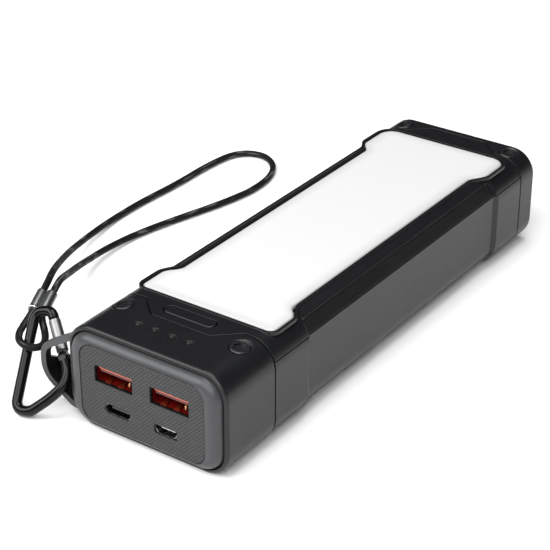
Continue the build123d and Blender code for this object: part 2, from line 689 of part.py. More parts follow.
# ---------------------------------------------------------------- lanyard
def run_radii(points):
    """Each corner's radius: as large as its two runs allow."""
    vectors = [Vector(*p) for p in points]
    radii = []
    for before, corner, after in zip(vectors, vectors[1:], vectors[2:]):
        turn = (corner - before).get_angle(after - corner)
        shorter = min((corner - before).length, (after - corner).length)
        radii.append(0.45 * shorter / math.tan(math.radians(turn) / 2))
    return radii


def cord_tube(node, points):
    """A round cord along straight runs joined by tangent arcs."""
    radii = run_radii(points)
    path = FilletPolyline(*points, radius=radii)
    tube = sweep(Plane(path ^ 0) * Circle(CORD_R), path)
    expected = math.pi * CORD_R ** 2 * path.length
    print(node, "radii", [round(r, 1) for r in radii], "length", round(path.length, 1))
    print(node, "volume", round(tube.volume, 1), "section times length", round(expected, 1))
    save(node, tube)


def with_leads(middle, half, lead, route):
    """A route that leaves one barrel straight and comes back straight into the other."""
    start = [tuple(middle - half), tuple(middle - half + lead)]
    end = [tuple(middle + half + lead), tuple(middle + half)]
    return [*start, *route, *end]


def lanyard():
    foot = Vector(*FERRULE_FOOT)
    head = Vector(*FERRULE_HEAD)
    axis = (head - foot).normalized()
    sideways = axis.cross(Vector(0, 0, 1)).normalized()
    half = sideways * (BARREL_SPACE / 2)
    section = Plane(origin=foot, x_dir=sideways, z_dir=axis)
    outline = Rectangle(BARREL_SPACE, 2 * BARREL_R - 0.7)
    for side in (1, -1):
        outline += Pos(side * BARREL_SPACE / 2, 0) * Circle(BARREL_R)
    save("lanyard_ferrule", extrude(section * outline, amount=(head - foot).length))
    back = foot - axis * EYE_GAP
    cord_tube("lanyard_eye", with_leads(back, half, axis * -EYE_LEAD, EYE_ROUTE))
    cord_tube("lanyard_cord", with_leads(head, half, axis * LOOP_LEAD, LOOP_ROUTE))


# ---------------------------------------------------------------- build
def main():
    body = envelope()
    save("front_cap", front_cap())
    save("rear_cap", rear_cap())
    save("rear_plate", rear_plate())
    save("top_frame", top_frame(body))
    save("side_frame", side_frame(body))
    save("bottom_cover", bottom_cover(body))
    save("front_bezel", front_bezel())
    save("port_inlay", port_inlay())
    save("lanyard_lug", lanyard_lug())
    save("cap_screws_front", cap_screws(SCREW_FRONT_Y))
    save("cap_screws_rear", cap_screws(SCREW_REAR_Y))
    for side, name in ((-1, "left"), (1, "right")):
        usb_a_socket(side, name)
    usb_c_socket()
    micro_usb_socket()
    save("power_button", power_button())
    controls()
    lamp(body)
    battery()
    electronics()
    carabiner()
    lanyard()


main()
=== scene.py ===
import bpy
import json
import math
import numpy as np
from mathutils import Matrix, Vector


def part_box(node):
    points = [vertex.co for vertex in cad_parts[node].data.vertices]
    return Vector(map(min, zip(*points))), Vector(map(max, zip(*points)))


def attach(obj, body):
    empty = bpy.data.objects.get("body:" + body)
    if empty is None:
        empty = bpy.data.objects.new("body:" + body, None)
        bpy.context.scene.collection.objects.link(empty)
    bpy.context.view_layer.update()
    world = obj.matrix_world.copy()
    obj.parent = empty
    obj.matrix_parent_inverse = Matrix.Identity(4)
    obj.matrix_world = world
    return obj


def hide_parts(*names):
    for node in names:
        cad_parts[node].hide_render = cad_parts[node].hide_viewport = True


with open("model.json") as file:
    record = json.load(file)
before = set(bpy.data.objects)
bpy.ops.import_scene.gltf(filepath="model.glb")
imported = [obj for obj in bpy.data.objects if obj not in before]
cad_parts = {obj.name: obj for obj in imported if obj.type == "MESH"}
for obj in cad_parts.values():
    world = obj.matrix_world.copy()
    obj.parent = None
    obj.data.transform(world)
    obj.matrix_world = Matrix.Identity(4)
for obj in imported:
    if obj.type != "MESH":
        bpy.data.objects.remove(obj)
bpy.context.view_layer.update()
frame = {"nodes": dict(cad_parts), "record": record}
NODES = frame["nodes"]
MM = 0.001


# ---------------------------------------------------------------- camera, light and floor
CAMERA_AT = (250.21 * MM, -382.41 * MM, 268.31 * MM)
CAMERA_AZIMUTH = 35.011
CAMERA_ELEVATION = 28.945
CAMERA_ROLL = 0.061
CAMERA_LENS = 112.07
CAMERA_SENSOR = 36.0


def make_camera():
    """A long lens at the viewing angle of a product shot from above the front right corner."""
    az = math.radians(CAMERA_AZIMUTH)
    el = math.radians(CAMERA_ELEVATION)
    roll = math.radians(CAMERA_ROLL)
    back = Vector((math.sin(az) * math.cos(el), -math.cos(az) * math.cos(el), math.sin(el)))
    right = Vector((0, 0, 1)).cross(back).normalized()
    up = back.cross(right)
    turned_right = right * math.cos(roll) + up * math.sin(roll)
    turned_up = up * math.cos(roll) - right * math.sin(roll)
    camera = bpy.data.cameras.new("camera")
    camera.lens = CAMERA_LENS
    camera.sensor_width = CAMERA_SENSOR
    camera.clip_start = 0.02
    holder = bpy.data.objects.new("camera", camera)
    axes = Matrix((turned_right, turned_up, back)).transposed().to_4x4()
    holder.matrix_world = Matrix.Translation(CAMERA_AT) @ axes
    bpy.context.scene.collection.objects.link(holder)
    bpy.context.scene.camera = holder


# Each softbox: its place, what it faces, its size in metres and its power in watts.
SOFTBOXES = {
    "key_softbox": ((0.30, -0.66, 0.66), (0.02, -0.08, 0.0), (0.9, 0.9), 11.5),
    "left_softbox": ((-0.62, -0.66, 0.80), (0.0, -0.05, 0.01), (0.8, 0.8), 12.0),
    "top_softbox": ((0.0, 0.1, 1.3), (0.0, 0.0, 0.0), (0.7, 0.7), 10.0),
}
ROOM_LIGHT = 0.03
FLOOR_HALF = 4.0
FLOOR_DROP = 0.2 * MM


def softbox(name, at, aim, size, watts):
    """A rectangular area light that faces a point."""
    light = bpy.data.lights.new(name, "AREA")
    light.shape = "RECTANGLE"
    light.size, light.size_y = size
    light.energy = watts
    holder = bpy.data.objects.new(name, light)
    holder.location = at
    holder.rotation_euler = (Vector(aim) - Vector(at)).to_track_quat("-Z", "Y").to_euler()
    bpy.context.scene.collection.objects.link(holder)


def make_stage():
    """A plain white floor and three softboxes in a nearly dark room."""
    scene = bpy.context.scene
    scene.view_settings.view_transform = "Standard"
    world = bpy.data.worlds.new("studio")
    world.use_nodes = True
    room = world.node_tree.nodes["Background"]
    room.inputs["Color"].default_value = (1, 1, 1, 1)
    room.inputs["Strength"].default_value = ROOM_LIGHT
    scene.world = world
    for name, (at, aim, size, watts) in SOFTBOXES.items():
        softbox(name, at, aim, size, watts)
    corners = [(x * FLOOR_HALF, y * FLOOR_HALF, 0) for x, y in ((-1, -1), (1, -1), (1, 1), (-1, 1))]
    floor = piece_from("floor", corners, [(0, 1, 2, 3)], floor_material())
    floor.location.z = -FLOOR_DROP


def piece_from(name, verts, faces, material, smooth=False):
    """A mesh object from vertices and faces, with one material."""
    mesh = bpy.data.meshes.new(name)
    mesh.from_pydata([tuple(vert) for vert in verts], [], faces)
    mesh.materials.append(material)
    if smooth:
        mesh.shade_smooth()
    made = bpy.data.objects.new(name, mesh)
    bpy.context.scene.collection.objects.link(made)
    return made


def store(made, name, values):
    """Keeps a value from 0 to 1 at each of a mesh's points, for its material to read."""
    layer = made.data.attributes.new(name, "FLOAT", "POINT")
    layer.data.foreach_set("value", np.clip(values, 0, 1).astype(np.float32))


def fit(made, body, slot, *nodes):
    """Hangs a piece on the body that it rides on and hides the nodes that it stands for. The slot argument is
    not used.
    """
    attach(made, body)
    if nodes:
        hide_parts(*nodes)
    return made


# ---------------------------------------------------------------- material tools
class Shader:
    """A Principled material and the few node chains used on it."""

    def __init__(self, name):
        self.material = bpy.data.materials.new(name)
        self.material.use_nodes = True
        self.tree = self.material.node_tree
        self.surface = self.tree.nodes["Principled BSDF"]
        self.place = self.tree.nodes.new("ShaderNodeTexCoord").outputs["Object"]
        self.normal = None

    def set(self, **values):
        """Uniform values go on the shader's own sockets."""
        for socket, value in values.items():
            name = socket.replace("_", " ")
            if isinstance(value, tuple):
                value = (*value, 1.0)
            self.surface.inputs[name].default_value = value
        return self

    def noise(self, scale, detail=3.0, stretch=None):
        """Noise in cells per metre, stretched along an axis if asked."""
        place = self.place
        if stretch:
            mapping = self.tree.nodes.new("ShaderNodeMapping")
            mapping.inputs["Scale"].default_value = stretch
            self.tree.links.new(place, mapping.inputs["Vector"])
            place = mapping.outputs["Vector"]
        node = self.tree.nodes.new("ShaderNodeTexNoise")
        node.inputs["Scale"].default_value = scale
        node.inputs["Detail"].default_value = detail
        self.tree.links.new(place, node.inputs["Vector"])
        return node.outputs["Fac"]

    def ramp(self, value, stops):
        """A colour ramp from (position, colour) stops."""
        node = self.tree.nodes.new("ShaderNodeValToRGB")
        while len(node.color_ramp.elements) < len(stops):
            node.color_ramp.elements.new(0.5)
        for element, (position, color) in zip(node.color_ramp.elements, stops):
            element.position = position
            element.color = (*color, 1.0)
        self.tree.links.new(value, node.inputs["Fac"])
        return node.outputs["Color"]

    def span(self, value, low, high):
        """Maps 0..1 onto low..high."""
        node = self.tree.nodes.new("ShaderNodeMapRange")
        node.inputs["To Min"].default_value = low
        node.inputs["To Max"].default_value = high
        self.tree.links.new(value, node.inputs["Value"])
        return node.outputs["Result"]

    def times(self, first, second):
        """The product of two values."""
        node = self.tree.nodes.new("ShaderNodeMath")
        node.operation = "MULTIPLY"
        self.tree.links.new(first, node.inputs[0])
        self.tree.links.new(second, node.inputs[1])
        return node.outputs["Value"]

    def attribute(self, name):
        """A value stored on the mesh's own points."""
        node = self.tree.nodes.new("ShaderNodeAttribute")
        node.attribute_name = name
        return node.outputs["Fac"]

    def over(self, factor, color):
        """Keeps the colour made so far where the factor is 1, and another colour where it is 0."""
        blend = self.tree.nodes.new("ShaderNodeMix")
        blend.data_type = "RGBA"
        made_so_far = self.surface.inputs["Base Color"].links[0].from_socket
        places = [socket for socket in blend.inputs if socket.type == "RGBA"]
        places[0].default_value = (*color, 1.0)
        self.tree.links.new(factor, blend.inputs[0])
        self.tree.links.new(made_so_far, places[1])
        self.color([socket for socket in blend.outputs if socket.type == "RGBA"][0])
        return self

    def color(self, output):
        self.tree.links.new(output, self.surface.inputs["Base Color"])
        return self

    def rough(self, output):
        self.tree.links.new(output, self.surface.inputs["Roughness"])
        return self

    def soften(self, radius):
        """Rounds the shading of sharp edges by a small radius."""
        node = self.tree.nodes.new("ShaderNodeBevel")
        node.samples = 12
        node.inputs["Radius"].default_value = radius
        self.normal = node.outputs["Normal"]
        self.tree.links.new(self.normal, self.surface.inputs["Normal"])
        return self

    def bump(self, height, strength, distance):
        """Relief on top of any relief already there."""
        node = self.tree.nodes.new("ShaderNodeBump")
        node.inputs["Strength"].default_value = strength
        node.inputs["Distance"].default_value = distance
        self.tree.links.new(height, node.inputs["Height"])
        if self.normal:
            self.tree.links.new(self.normal, node.inputs["Normal"])
        self.normal = node.outputs["Normal"]
        self.tree.links.new(self.normal, self.surface.inputs["Normal"])
        return self


def scaled(color, factor):
    return tuple(channel * factor for channel in color)


def plastic(name, color, rough, grain=0.03, edge=0.0, gloss=0.5):
    """Moulded plastic: faint mottling, a fine grain and slightly rounded edges."""
    shader = Shader(name).set(Specular_IOR_Level=gloss)
    mottle = shader.noise(90.0, 4.0)
    shader.color(shader.ramp(mottle, [(0.3, scaled(color, 0.88)), (0.7, scaled(color, 1.12))]))
    shader.rough(shader.span(shader.noise(400.0), rough - 0.05, rough + 0.05))
    if edge:
        shader.soften(edge)
    shader.bump(shader.noise(2600.0, 2.0), grain, 0.05 * MM)
    return shader


def uncoloured_metal(name, rough):
    """Metal with a fine grain and small changes of gloss, still without its colour, and that grain."""
    shader = Shader(name).set(Metallic=1.0)
    grain = shader.noise(1200.0)
    shader.rough(shader.span(grain, rough - 0.06, rough + 0.08))
    shader.bump(grain, 0.04, 0.03 * MM)
    return shader, grain


def metal(name, color, rough):
    """Bare metal that darkens a little with its grain."""
    shader, grain = uncoloured_metal(name, rough)
    return shader.color(shader.ramp(grain, [(0.25, scaled(color, 0.85)), (0.75, color)]))


def floor_material():
    shader = Shader("floor").set(Roughness=0.9)
    shader.color(shader.ramp(shader.noise(6.0), [(0.3, (0.93, 0.93, 0.93)), (0.7, (0.94, 0.94, 0.94))]))
    return shader.material


# ---------------------------------------------------------------- materials
BLACK = (0.0068, 0.0071, 0.0080)
GREY = (0.040, 0.041, 0.043)
YARN_DARK = (0.006, 0.006, 0.0065)
YARN_PALE = (0.085, 0.085, 0.088)
SHELL_GLOSS = 0.35
SHELL_EDGE = 0.32 * MM
BEZEL_EDGE = 0.1 * MM
SCREW_EDGE = 0.15 * MM
INSULATOR_RED = (0.082, 0.003, 0.0016)
LACQUER_DARK = (0.002, 0.002, 0.0024)
LACQUER_PALE = (0.0032, 0.0032, 0.0036)
# Painted shade over the insulator's front: how deep it reaches, and how softly it ends.
COLLAR_SHADE_DEPTH = 0.75 * MM
COLLAR_SHADE_FADE = 0.05 * MM
# How softly the painted shade on the lug's inner walls fades in.
LUG_SHADE_FADE = (-1.5 * MM, -0.5 * MM)


def inlay_material():
    """Woven-look plate whose colour follows its relief: painted shade between its ribs and on its border, a
    painted highlight on its rib tops.
    """
    shader = Shader("inlay_weave").set(Specular_IOR_Level=SHELL_GLOSS)
    relief_shading = shader.times(shader.attribute("relief_shading"), shader.span(shader.noise(1500.0, 2.0), 0.35, 1.6))
    # Painted shade and highlight: near black between the ribs and on the border, pale grey on the rib tops.
    valley_shade, flank, rib = scaled(GREY, 0.1), scaled(GREY, 0.4), scaled(GREY, 1.15)
    shader.color(shader.ramp(relief_shading, [(0.0, valley_shade), (0.2, flank), (1.0, rib)]))
    shader.rough(shader.span(relief_shading, 0.6, 0.4))
    shader.bump(shader.noise(2600.0, 2.0), 0.08, 0.05 * MM)
    return shader.material


def insulator_material():
    """Deep red moulding, with painted shade: its front edge is coloured near black as shade in the socket's
    mouth.
    """
    shader = plastic("socket_orange", INSULATOR_RED, 0.25, 0.02)
    nodes, links = shader.tree.nodes, shader.tree.links
    parts = nodes.new("ShaderNodeSeparateXYZ")
    links.new(shader.place, parts.inputs["Vector"])
    inside = nodes.new("ShaderNodeMapRange")
    edge_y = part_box("usb_a_insulator_left")[0].y + COLLAR_SHADE_DEPTH
    inside.inputs["From Min"].default_value = edge_y - COLLAR_SHADE_FADE
    inside.inputs["From Max"].default_value = edge_y + COLLAR_SHADE_FADE
    links.new(parts.outputs["Y"], inside.inputs["Value"])
    # Painted shade: the moulding's front 0.75 mm is near black, fading over 0.1 mm.
    shader.over(inside.outputs["Result"], scaled(BLACK, 0.5))
    return shader.material


def lug_material():
    """The bezel's grey outside, and painted shade: near black on the walls that face the eye."""
    shader = plastic("lanyard_lug_grey", GREY, 0.38, 0.03, BEZEL_EDGE, SHELL_GLOSS)
    nodes, links = shader.tree.nodes, shader.tree.links
    low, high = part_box("lanyard_lug")
    outward = nodes.new("ShaderNodeVectorMath")
    outward.operation = "SUBTRACT"
    outward.inputs[1].default_value = (high.x, (low.y + high.y) / 2, (low.z + high.z) / 2)
    links.new(shader.place, outward.inputs[0])
    facing = nodes.new("ShaderNodeVectorMath")
    facing.operation = "DOT_PRODUCT"
    links.new(outward.outputs["Vector"], facing.inputs[0])
    links.new(nodes.new("ShaderNodeTexCoord").outputs["Normal"], facing.inputs[1])
    side = nodes.new("ShaderNodeMapRange")
    side.inputs["From Min"].default_value, side.inputs["From Max"].default_value = LUG_SHADE_FADE
    links.new(facing.outputs["Value"], side.inputs["Value"])
    # Painted shade: the walls that face into the eye are near black.
    shader.over(side.outputs["Result"], scaled(BLACK, 0.4))
    return shader.material


def braid_material():
    """Black braid with paler reflective yarns that show every few millimetres."""
    shader = Shader("braid").set(Specular_IOR_Level=0.12)
    shader.place = shader.tree.nodes.new("ShaderNodeUVMap").outputs["UV"]
    fleck = shader.noise(1.0, 1.0, (5.0, 110.0, 1.0))
    shader.color(shader.ramp(fleck, [(0.56, YARN_DARK), (0.68, YARN_PALE)]))
    shader.rough(shader.span(fleck, 0.7, 0.5))
    return shader.material


def diffuser_material():
    """Opal sheet with painted shade: a little greyer where it meets its frame."""
    shader = Shader("diffuser_white").set(Specular_IOR_Level=0.3)
    inner = shader.attribute("inner")
    edge, middle, heart = (0.28, 0.28, 0.285), (0.475, 0.475, 0.48), (0.588, 0.588, 0.59)
    # Painted shade: about half as bright at the very edge, brightest 4 mm in.
    shader.color(shader.ramp(inner, [(0.0, edge), (0.12, middle), (1.0, heart)]))
    shader.rough(shader.span(shader.noise(300.0), 0.4, 0.5))
    shader.bump(shader.noise(4000.0, 2.0), 0.02, 0.02 * MM)
    return shader.material


def ferrule_material():
    """Gunmetal barrels with polished rims."""
    shader, _ = uncoloured_metal("ferrule_metal", 0.36)
    barrel, edge, rim = (0.27, 0.275, 0.28), (0.30, 0.30, 0.305), (0.85, 0.85, 0.86)
    shader.color(shader.ramp(shader.attribute("polish"), [(0.0, barrel), (0.5, edge), (1.0, rim)]))
    return shader.material


def wire_material():
    """Black lacquer over the carabiner's wire: very dark, with crisp reflections."""
    shader = Shader("carabiner_black").set(Specular_IOR_Level=0.2)
    shader.color(shader.ramp(shader.noise(200.0), [(0.3, LACQUER_DARK), (0.7, LACQUER_PALE)]))
    shader.rough(shader.span(shader.noise(700.0), 0.13, 0.20))
    shader.bump(shader.noise(1500.0), 0.03, 0.03 * MM)
    return shader.material


# ---------------------------------------------------------------- the cords
# The same route points as in the CAD, scaled to metres where they are used.
CORD_D = 2.2 * MM
FERRULE_FOOT = Vector((-51.0, -71.6, 20.0)) * MM
FERRULE_HEAD = Vector((-53.5, -64.5, 22.0)) * MM
BARREL_SPACE = 3.1 * MM
BARREL_R = 1.8 * MM
RIM_SWELL = 0.14 * MM
MOUTH_SLACK = 0.06 * MM
BARREL_SIDES = 48
EYE_GAP = 0.3 * MM
EYE_LEAD = 1.6 * MM
LOOP_LEAD = 4.2 * MM
EYE_ROUTE = [
    (-51.6, -77.2, 17.9), (-50.3, -81.0, 17.1), (-47.1, -84.1, 17.0), (-42.5, -84.7, 16.9),
    (-40.7, -81.2, 16.4), (-43.3, -77.0, 16.9),
]
LOOP_ROUTE = [
    (-60.6, -54.6, 22.0), (-69.4, -42.2, 16.8), (-79.8, -26.6, 10.2), (-89.4, -9.4, 4.0),
    (-94.8, 9.4, 1.2), (-95.4, 28.6, 1.2), (-94.0, 48.0, 1.2), (-94.4, 67.0, 1.2),
    (-92.4, 82.0, 1.2), (-82.2, 86.4, 1.2), (-72.0, 78.2, 1.2), (-68.6, 62.4, 1.2),
    (-71.8, 44.4, 1.2), (-77.4, 26.0, 1.2), (-81.6, 9.2, 1.2), (-81.8, -5.4, 2.2),
    (-77.6, -18.8, 5.4), (-70.4, -32.6, 11.0), (-62.6, -45.2, 16.8), (-56.2, -55.0, 21.8),
]
BRAID_SIDES = 32
BRAID_STEP = 0.22 * MM
BRAID_STARTS = 8
BRAID_PITCH = 9.0 * MM
BRAID_HEIGHT = 0.055 * MM


def ferrule_axes():
    """Along the barrels, across them, and up from them."""
    axis = (FERRULE_HEAD - FERRULE_FOOT).normalized()
    sideways = axis.cross(Vector((0, 0, 1))).normalized()
    return axis, sideways, sideways.cross(axis)


def with_leads(middle, half, lead, route):
    """A route that leaves one barrel straight and comes back straight into the other."""
    start = [middle - half, middle - half + lead]
    end = [middle + half + lead, middle + half]
    return [*start, *[Vector(point) * MM for point in route], *end]


def spline_points(route):
    """Evenly spaced points along the smooth line of a route, and its length."""
    curve = bpy.data.curves.new("route", "CURVE")
    curve.dimensions = "3D"
    curve.resolution_u = 24
    spline = curve.splines.new("NURBS")
    spline.points.add(len(route) - 1)
    for point, place in zip(spline.points, route):
        point.co = (*place, 1.0)
    spline.order_u = 3
    spline.use_endpoint_u = True
    holder = bpy.data.objects.new("route", curve)
    mesh = bpy.data.meshes.new_from_object(holder)
    line = np.array([vertex.co for vertex in mesh.vertices])
    bpy.data.objects.remove(holder)
    bpy.data.meshes.remove(mesh)
    lengths = np.concatenate([[0], np.cumsum(np.linalg.norm(np.diff(line, axis=0), axis=1))])
    even = np.linspace(0, lengths[-1], int(lengths[-1] / BRAID_STEP) + 1)
    points = np.stack([np.interp(even, lengths, line[:, axis]) for axis in range(3)], axis=1)
    return points, lengths[-1]


def carried_frames(points):
    """A side vector at each point that never twists, and the vector square to it."""
    tangents = np.gradient(points, axis=0)
    tangents /= np.linalg.norm(tangents, axis=1)[:, None]
    side = np.cross(tangents[0], [0.0, 0.0, 1.0])
    side /= np.linalg.norm(side)
    sides = [side]
    for tangent in tangents[1:]:
        side = side - tangent * np.dot(side, tangent)
        side = side / np.linalg.norm(side)
        sides.append(side)
    sides = np.array(sides)
    return sides, np.cross(tangents, sides)


def braid_radius(along, around):
    """The braid's surface: two sets of flat yarns that cross over and under each other."""
    turn = 2 * np.pi * along / BRAID_PITCH
    right = BRAID_STARTS * (around + turn)
    left = BRAID_STARTS * (around - turn)
    over = np.sin(right / 2) * np.sin(left / 2)
    yarn = np.maximum(np.abs(np.sin(right / 2)), np.abs(np.sin(left / 2)))
    return CORD_D / 2 - BRAID_HEIGHT * (1.3 - yarn ** 3) + BRAID_HEIGHT * 0.3 * over


def braid_tube(name, route, material):
    """A braided cord along a route, with its line and its length."""
    points, length = spline_points(route)
    sides, ups = carried_frames(points)
    along = np.linspace(0, length, len(points))
    around = np.arange(BRAID_SIDES) * 2 * np.pi / BRAID_SIDES
    radius = braid_radius(along[:, None], around[None, :])
    across, upward = np.cos(around)[None, :, None], np.sin(around)[None, :, None]
    ring = sides[:, None, :] * across + ups[:, None, :] * upward
    verts = points[:, None, :] + ring * radius[:, :, None]
    count = len(points)
    faces = []
    for i in range(count - 1):
        for j in range(BRAID_SIDES):
            k = (j + 1) % BRAID_SIDES
            row, above = i * BRAID_SIDES, (i + 1) * BRAID_SIDES
            faces.append((row + j, row + k, above + k, above + j))
    faces.append(tuple(range(BRAID_SIDES - 1, -1, -1)))
    faces.append(tuple((count - 1) * BRAID_SIDES + j for j in range(BRAID_SIDES)))
    cord = piece_from(name, verts.reshape(-1, 3), faces, material, smooth=True)
    layer = cord.data.uv_layers.new(name="UVMap")
    for loop in cord.data.loops:
        row, column = divmod(loop.vertex_index, BRAID_SIDES)
        layer.data[loop.index].uv = (column / BRAID_SIDES, along[row])
    return cord, points, length


def make_cords(material):
    axis, sideways, _ = ferrule_axes()
    half = sideways * (BARREL_SPACE / 2)
    loop_route = with_leads(FERRULE_HEAD, half, axis * LOOP_LEAD, LOOP_ROUTE)
    loop, line, length = braid_tube("wrist_loop", loop_route, material)
    fit(loop, "lanyard", "cord_braid", "lanyard_cord")
    foot = FERRULE_FOOT - axis * EYE_GAP
    eye_route = with_leads(foot, half, axis * -EYE_LEAD, EYE_ROUTE)
    eye, line, length = braid_tube("carabiner_eye", eye_route, material)
    fit(eye, "carabiner", "cord_braid", "lanyard_eye")


# ---------------------------------------------------------------- turned pieces
def lathe(profile, origin, axis, segments):
    """Vertices and faces of a closed turned shape from (distance along, radius) pairs."""
    axis = Vector(axis).normalized()
    side = axis.orthogonal().normalized()
    up = axis.cross(side)
    verts = []
    for along, radius in profile:
        for j in range(segments):
            angle = 2 * math.pi * j / segments
            verts.append(origin + axis * along + (side * math.cos(angle) + up * math.sin(angle)) * radius)
    faces = []
    for i in range(len(profile) - 1):
        for j in range(segments):
            k = (j + 1) % segments
            row, above = i * segments, (i + 1) * segments
            faces.append((row + j, row + k, above + k, above + j))
    faces.append(tuple(range(segments - 1, -1, -1)))
    faces.append(tuple((len(profile) - 1) * segments + j for j in range(segments)))
    return verts, faces


def joined(parts):
    """Several (vertices, faces) lists as one."""
    verts = []
    faces = []
    for more_verts, more_faces in parts:
        start = len(verts)
        verts.extend(more_verts)
        faces.extend(tuple(start + index for index in face) for face in more_faces)
    return verts, faces


def make_ferrule(material):
    """Two turned barrels side by side, each with a rolled rim at its foot."""
    axis, sideways, _ = ferrule_axes()
    length = (FERRULE_HEAD - FERRULE_FOOT).length
    body, rim, mouth = BARREL_R - RIM_SWELL, BARREL_R, CORD_D / 2 + MOUTH_SLACK
    # In millimetres: past the foot's or before the head's end, and out from the radius that is named.
    foot = [
        (0.25, mouth, 0), (0.04, mouth, 0), (0, mouth, 0.1), (0, rim, -0.12), (0.08, rim, -0.02),
        (0.30, rim, 0), (0.52, rim, -0.03), (0.66, body, 0), (0.90, body, 0),
    ]
    head = [(0.5, body, 0), (0.12, body, -0.04), (0, body, -0.18), (0, mouth, 0.04), (0.25, mouth, 0)]
    profile = [(past * MM, radius + out * MM) for past, radius, out in foot]
    profile += [(length - before * MM, radius + out * MM) for before, radius, out in head]
    barrels = []
    for side in (-0.5, 0.5):
        origin = FERRULE_FOOT + sideways * (side * BARREL_SPACE)
        barrels.append(lathe(profile, origin, axis, BARREL_SIDES))
    ferrule = piece_from("ferrule_barrels", *joined(barrels), material, smooth=True)
    polish = [1.0 if radius > body + RIM_SWELL / 2 else 0.0 for _, radius in profile]
    store(ferrule, "polish", np.tile(np.repeat(polish, BARREL_SIDES), 2))
    fit(ferrule, "lanyard", "ferrule_metal", "lanyard_ferrule")


# ---------------------------------------------------------------- plates cut to an outline
def rounded_box(u, v, width, height, radius):
    """Signed distance to a rounded rectangle about the origin, negative inside."""
    du = np.abs(u) - width / 2 + radius
    dv = np.abs(v) - height / 2 + radius
    outside = np.hypot(np.maximum(du, 0), np.maximum(dv, 0))
    return outside + np.minimum(np.maximum(du, dv), 0) - radius


def plate(low, high, step, distance):
    """Grid points, cells and distances of a flat shape, its border points moved onto the outline."""
    us = np.linspace(low[0] - step, high[0] + step, int((high[0] - low[0]) / step) + 3)
    vs = np.linspace(low[1] - step, high[1] + step, int((high[1] - low[1]) / step) + 3)
    u, v = np.meshgrid(us, vs, indexing="ij")
    depth = distance(u, v)
    slope_u = (distance(u + step / 8, v) - distance(u - step / 8, v)) / (step / 4)
    slope_v = (distance(u, v + step / 8) - distance(u, v - step / 8)) / (step / 4)
    near = np.abs(depth) < step * 0.55
    u = np.where(near, u - depth * slope_u, u)
    v = np.where(near, v - depth * slope_v, v)
    kept = depth < step * 0.55
    whole = kept[:-1, :-1] & kept[1:, :-1] & kept[1:, 1:] & kept[:-1, 1:]
    index = np.arange(u.size).reshape(u.shape)
    corners = [index[:-1, :-1], index[1:, :-1], index[1:, 1:], index[:-1, 1:]]
    cells = np.stack([corner[whole] for corner in corners], axis=1)
    used, cells = np.unique(cells, return_inverse=True)
    flat_depth = np.where(near, 0.0, depth).ravel()[used]
    return u.ravel()[used], v.ravel()[used], flat_depth, cells.reshape(-1, 4)


def thick_plate(front, back, cells):
    """A closed plate from its front points, its back points and the front's cells."""
    count = len(front)
    verts = [*front, *back]
    faces = [tuple(cell) for cell in cells]
    faces += [tuple(count + index for index in reversed(cell)) for cell in cells]
    edges = {}
    for cell in cells:
        for a, b in zip(cell, np.roll(cell, -1)):
            edges[(a, b)] = True
    for a, b in edges:
        if (b, a) not in edges:
            faces.append((a, count + a, count + b, b))
    return verts, faces


# The socket plate's openings, as in the CAD.
INLAY_MIDDLE_Z = 15.8 * MM
INLAY_CORNER = 4.6 * MM
USB_A = (13.1 * MM, 5.1 * MM, 0.3 * MM)
USB_A_AT = (9.55 * MM, 19.9 * MM)
USB_C = (9.0 * MM, 3.2 * MM, 1.6 * MM)
USB_C_AT = (-8.5 * MM, 9.95 * MM)
MICRO = (7.7 * MM, 2.9 * MM, 0.5 * MM)
MICRO_AT = (8.1 * MM, 9.8 * MM)
WEAVE_STEP = 0.16 * MM
WEAVE_PITCH = 0.86 * MM
WEAVE_CROSS = 0.95 * MM
WEAVE_RELIEF = 0.11 * MM


def inlay_distance(x, z):
    """Signed distance to the socket plate's outline, its openings left out."""
    low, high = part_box("port_inlay")
    depth = rounded_box(x, z - INLAY_MIDDLE_Z, high.x - low.x, high.z - low.z, INLAY_CORNER)
    openings = [(USB_A, USB_A_AT), (USB_A, (-USB_A_AT[0], USB_A_AT[1])), (USB_C, USB_C_AT), (MICRO, MICRO_AT)]
    for (width, height, radius), (at_x, at_z) in openings:
        depth = np.maximum(depth, -rounded_box(x - at_x, z - at_z, width, height, radius))
    return depth


def weave_height(x, z):
    """Slanted ribs, each broken into short bars that step from rib to rib: 0 to 1."""
    rib_phase = (x - z) / (math.sqrt(2) * WEAVE_PITCH)
    bar_phase = (x + z) / (math.sqrt(2) * WEAVE_CROSS) + 0.5 * np.floor(rib_phase)
    rib = 0.5 + 0.5 * np.cos(2 * np.pi * (rib_phase - 0.5))
    bar = 0.5 + 0.5 * np.cos(2 * np.pi * bar_phase)
    return rib * (0.15 + 0.85 * bar)


def make_inlay(material):
    low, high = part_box("port_inlay")
    x, z, depth, cells = plate((low.x, low.z), (high.x, high.z), WEAVE_STEP, inlay_distance)
    front_y = low.y + WEAVE_RELIEF * (1 - weave_height(x, z))
    front = np.stack([x, front_y, z], axis=1)
    back = np.stack([x, np.full_like(x, high.y), z], axis=1)
    inlay = piece_from("woven_inlay", *thick_plate(front, back, cells.tolist()), material, smooth=True)
    # Painted shade: over the face this follows the relief; the outline's points, the opening walls and the
    # back stay at 0, the darkest colour.
    painted_relief_shade = np.where(depth < 0, 0.2 + 0.8 * weave_height(x, z), 0)
    store(inlay, "relief_shading", np.concatenate([painted_relief_shade, np.zeros_like(x)]))
    fit(inlay, "housing", "inlay_weave", "port_inlay")


# The lamp window's outline, as in the CAD: wide at both ends, narrow along the waist.
LAMP_NARROW = 19.3 * MM
LAMP_STEPS_Y = (-49.3 * MM, -43.4 * MM, 53.8 * MM, 59.8 * MM)
LAMP_FRONT_ROUND = 2.0 * MM
LAMP_REAR_ROUND = 5.0 * MM
DIFFUSER_STEP = 0.55 * MM
DIFFUSER_EDGE = 0.35 * MM
